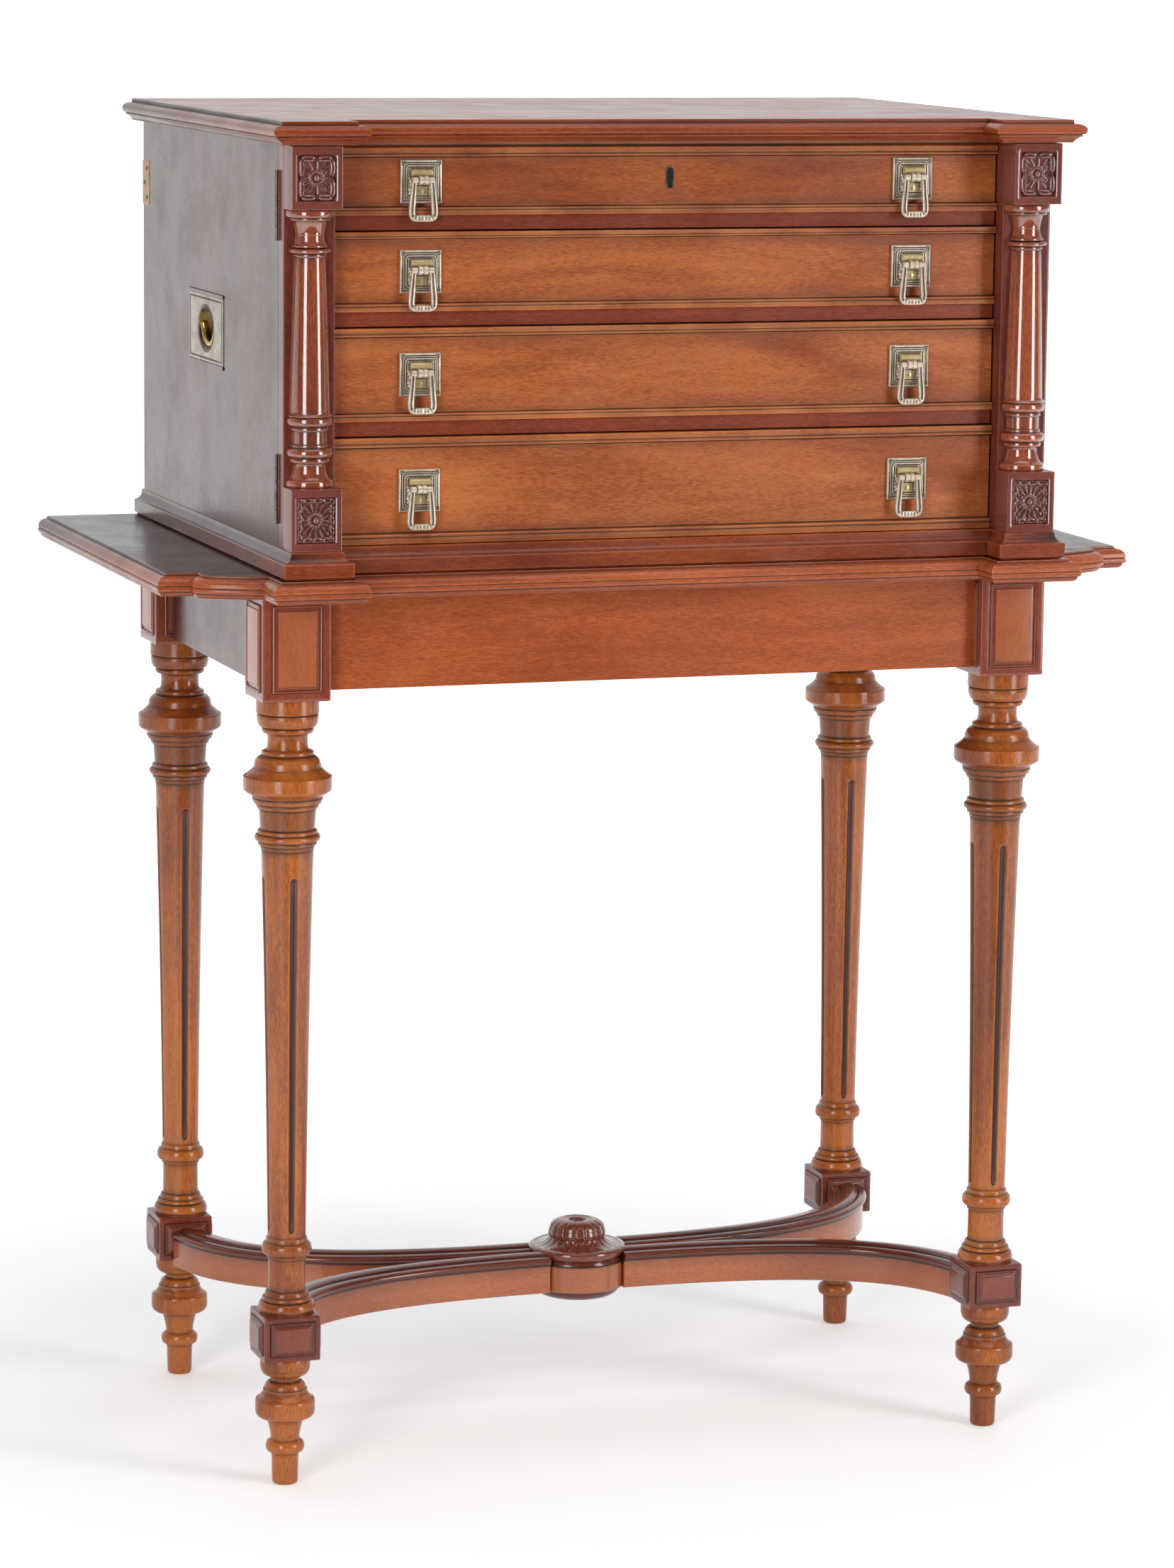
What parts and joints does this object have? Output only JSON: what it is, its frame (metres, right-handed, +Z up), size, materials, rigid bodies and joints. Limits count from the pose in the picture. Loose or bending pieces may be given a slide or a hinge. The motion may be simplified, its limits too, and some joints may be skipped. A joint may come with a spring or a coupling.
{
  "type": "cutlery cabinet",
  "caption": "Mahogany cutlery cabinet on a turned-leg stand: lidded tray over drawers between hinged column stiles, brass drop handles, moulded top, curved stretcher.",
  "frame": {"origin": "on the floor, under the middle of the whole cabinet's box", "axes": "+Z up; the front with the drawers faces -Y; +X is to the right when facing the front"},
  "size_m": [0.769, 0.464, 1.024],
  "materials": {
    "mahogany_pale": "polished mahogany, orange brown",
    "mahogany_red": "polished mahogany, dark red brown",
    "drawer_lining": "plain dry wood inside the drawers",
    "aged_brass": "worn pale brass"
  },
  "bodies": {
    "stand_and_case": {"apron_back": "mahogany_pale", "apron_front": "mahogany_pale", "apron_left": "mahogany_pale", "apron_right": "mahogany_pale", "leg_front_left": "mahogany_pale", "leg_front_right": "mahogany_pale", "leg_back_left": "mahogany_pale", "leg_back_right": "mahogany_pale", "stand_top": "mahogany_pale", "stretcher_arm_front_left": "mahogany_red", "stretcher_arm_front_right": "mahogany_red", "stretcher_arm_back_left": "mahogany_red", "stretcher_arm_back_right": "mahogany_red", "stretcher_hub": "mahogany_red", "stretcher_boss": "mahogany_red", "case_plinth": "mahogany_red", "case_side_left": "mahogany_red", "case_side_right": "mahogany_red", "case_back": "mahogany_red", "rail_low": "mahogany_red", "rail_middle": "mahogany_red", "rail_high": "mahogany_red", "top_front": "mahogany_pale", "top_left_plate": "aged_brass", "top_right_plate": "aged_brass", "stile_hinge_left_low": "aged_brass", "stile_hinge_left_high": "aged_brass", "lid_hinge_left": "aged_brass", "flush_left_plate": "aged_brass", "stile_hinge_right_low": "aged_brass", "stile_hinge_right_high": "aged_brass", "lid_hinge_right": "aged_brass", "flush_right_plate": "aged_brass"},
    "lid": {"lid": "mahogany_pale"},
    "stile_left": {"stile_left": "mahogany_red", "column_left": "mahogany_red"},
    "stile_right": {"stile_right": "mahogany_red", "column_right": "mahogany_red"},
    "drawer_low": {"drawer_low_front": "mahogany_pale", "drawer_low_box": "drawer_lining", "drawer_low_left_plate": "aged_brass", "drawer_low_right_plate": "aged_brass"},
    "drawer_middle": {"drawer_middle_front": "mahogany_pale", "drawer_middle_box": "drawer_lining", "drawer_middle_left_plate": "aged_brass", "drawer_middle_right_plate": "aged_brass"},
    "drawer_high": {"drawer_high_front": "mahogany_pale", "drawer_high_box": "drawer_lining", "drawer_high_left_plate": "aged_brass", "drawer_high_right_plate": "aged_brass"},
    "top_left_bail": {"top_left_bail": "aged_brass"},
    "top_right_bail": {"top_right_bail": "aged_brass"},
    "drawer_high_left_bail": {"drawer_high_left_bail": "aged_brass"},
    "drawer_high_right_bail": {"drawer_high_right_bail": "aged_brass"},
    "drawer_middle_left_bail": {"drawer_middle_left_bail": "aged_brass"},
    "drawer_middle_right_bail": {"drawer_middle_right_bail": "aged_brass"},
    "drawer_low_left_bail": {"drawer_low_left_bail": "aged_brass"},
    "drawer_low_right_bail": {"drawer_low_right_bail": "aged_brass"},
    "flush_left_ring": {"flush_left_ring": "aged_brass"},
    "flush_right_ring": {"flush_right_ring": "aged_brass"}
  },
  "joints": [
    {"name": "lid_hinge", "type": "hinge", "parent": "stand_and_case", "child": "lid", "pos_m": [0, 0.2291, 1.004], "axis": [-1, 0, 0], "range_deg": [0, 92]},
    {"name": "stile_left_hinge", "type": "hinge", "parent": "stand_and_case", "child": "stile_left", "pos_m": [-0.3015, -0.18065, 0.8602], "axis": [0, 0, -1], "range_deg": [0, 110]},
    {"name": "stile_right_hinge", "type": "hinge", "parent": "stand_and_case", "child": "stile_right", "pos_m": [0.3015, -0.18065, 0.8602], "axis": [0, 0, 1], "range_deg": [0, 110]},
    {"name": "drawer_low_slide", "type": "slide", "parent": "stand_and_case", "child": "drawer_low", "axis": [0, -1, 0], "range_m": [0, 0.28]},
    {"name": "drawer_middle_slide", "type": "slide", "parent": "stand_and_case", "child": "drawer_middle", "axis": [0, -1, 0], "range_m": [0, 0.28]},
    {"name": "drawer_high_slide", "type": "slide", "parent": "stand_and_case", "child": "drawer_high", "axis": [0, -1, 0], "range_m": [0, 0.28]},
    {"name": "top_left_bail_swing", "type": "hinge", "parent": "stand_and_case", "child": "top_left_bail", "pos_m": [-0.192, -0.18745, 0.9802], "axis": [-1, 0, 0], "range_deg": [0, 95]},
    {"name": "top_right_bail_swing", "type": "hinge", "parent": "stand_and_case", "child": "top_right_bail", "pos_m": [0.192, -0.18745, 0.9802], "axis": [-1, 0, 0], "range_deg": [0, 95]},
    {"name": "drawer_high_left_bail_swing", "type": "hinge", "parent": "drawer_high", "child": "drawer_high_left_bail", "pos_m": [-0.192, -0.18745, 0.91485], "axis": [-1, 0, 0], "range_deg": [0, 95]},
    {"name": "drawer_high_right_bail_swing", "type": "hinge", "parent": "drawer_high", "child": "drawer_high_right_bail", "pos_m": [0.192, -0.18745, 0.91485], "axis": [-1, 0, 0], "range_deg": [0, 95]},
    {"name": "drawer_middle_left_bail_swing", "type": "hinge", "parent": "drawer_middle", "child": "drawer_middle_left_bail", "pos_m": [-0.192, -0.18745, 0.83985], "axis": [-1, 0, 0], "range_deg": [0, 95]},
    {"name": "drawer_middle_right_bail_swing", "type": "hinge", "parent": "drawer_middle", "child": "drawer_middle_right_bail", "pos_m": [0.192, -0.18745, 0.83985], "axis": [-1, 0, 0], "range_deg": [0, 95]},
    {"name": "drawer_low_left_bail_swing", "type": "hinge", "parent": "drawer_low", "child": "drawer_low_left_bail", "pos_m": [-0.192, -0.18745, 0.7547], "axis": [-1, 0, 0], "range_deg": [0, 95]},
    {"name": "drawer_low_right_bail_swing", "type": "hinge", "parent": "drawer_low", "child": "drawer_low_right_bail", "pos_m": [0.192, -0.18745, 0.7547], "axis": [-1, 0, 0], "range_deg": [0, 95]},
    {"name": "flush_left_ring_swing", "type": "hinge", "parent": "stand_and_case", "child": "flush_left_ring", "pos_m": [-0.2965, 0.0258, 0.86], "axis": [0, 1, 0], "range_deg": [0, 90]},
    {"name": "flush_right_ring_swing", "type": "hinge", "parent": "stand_and_case", "child": "flush_right_ring", "pos_m": [0.2965, 0.0258, 0.86], "axis": [0, -1, 0], "range_deg": [0, 90]}
  ]
}
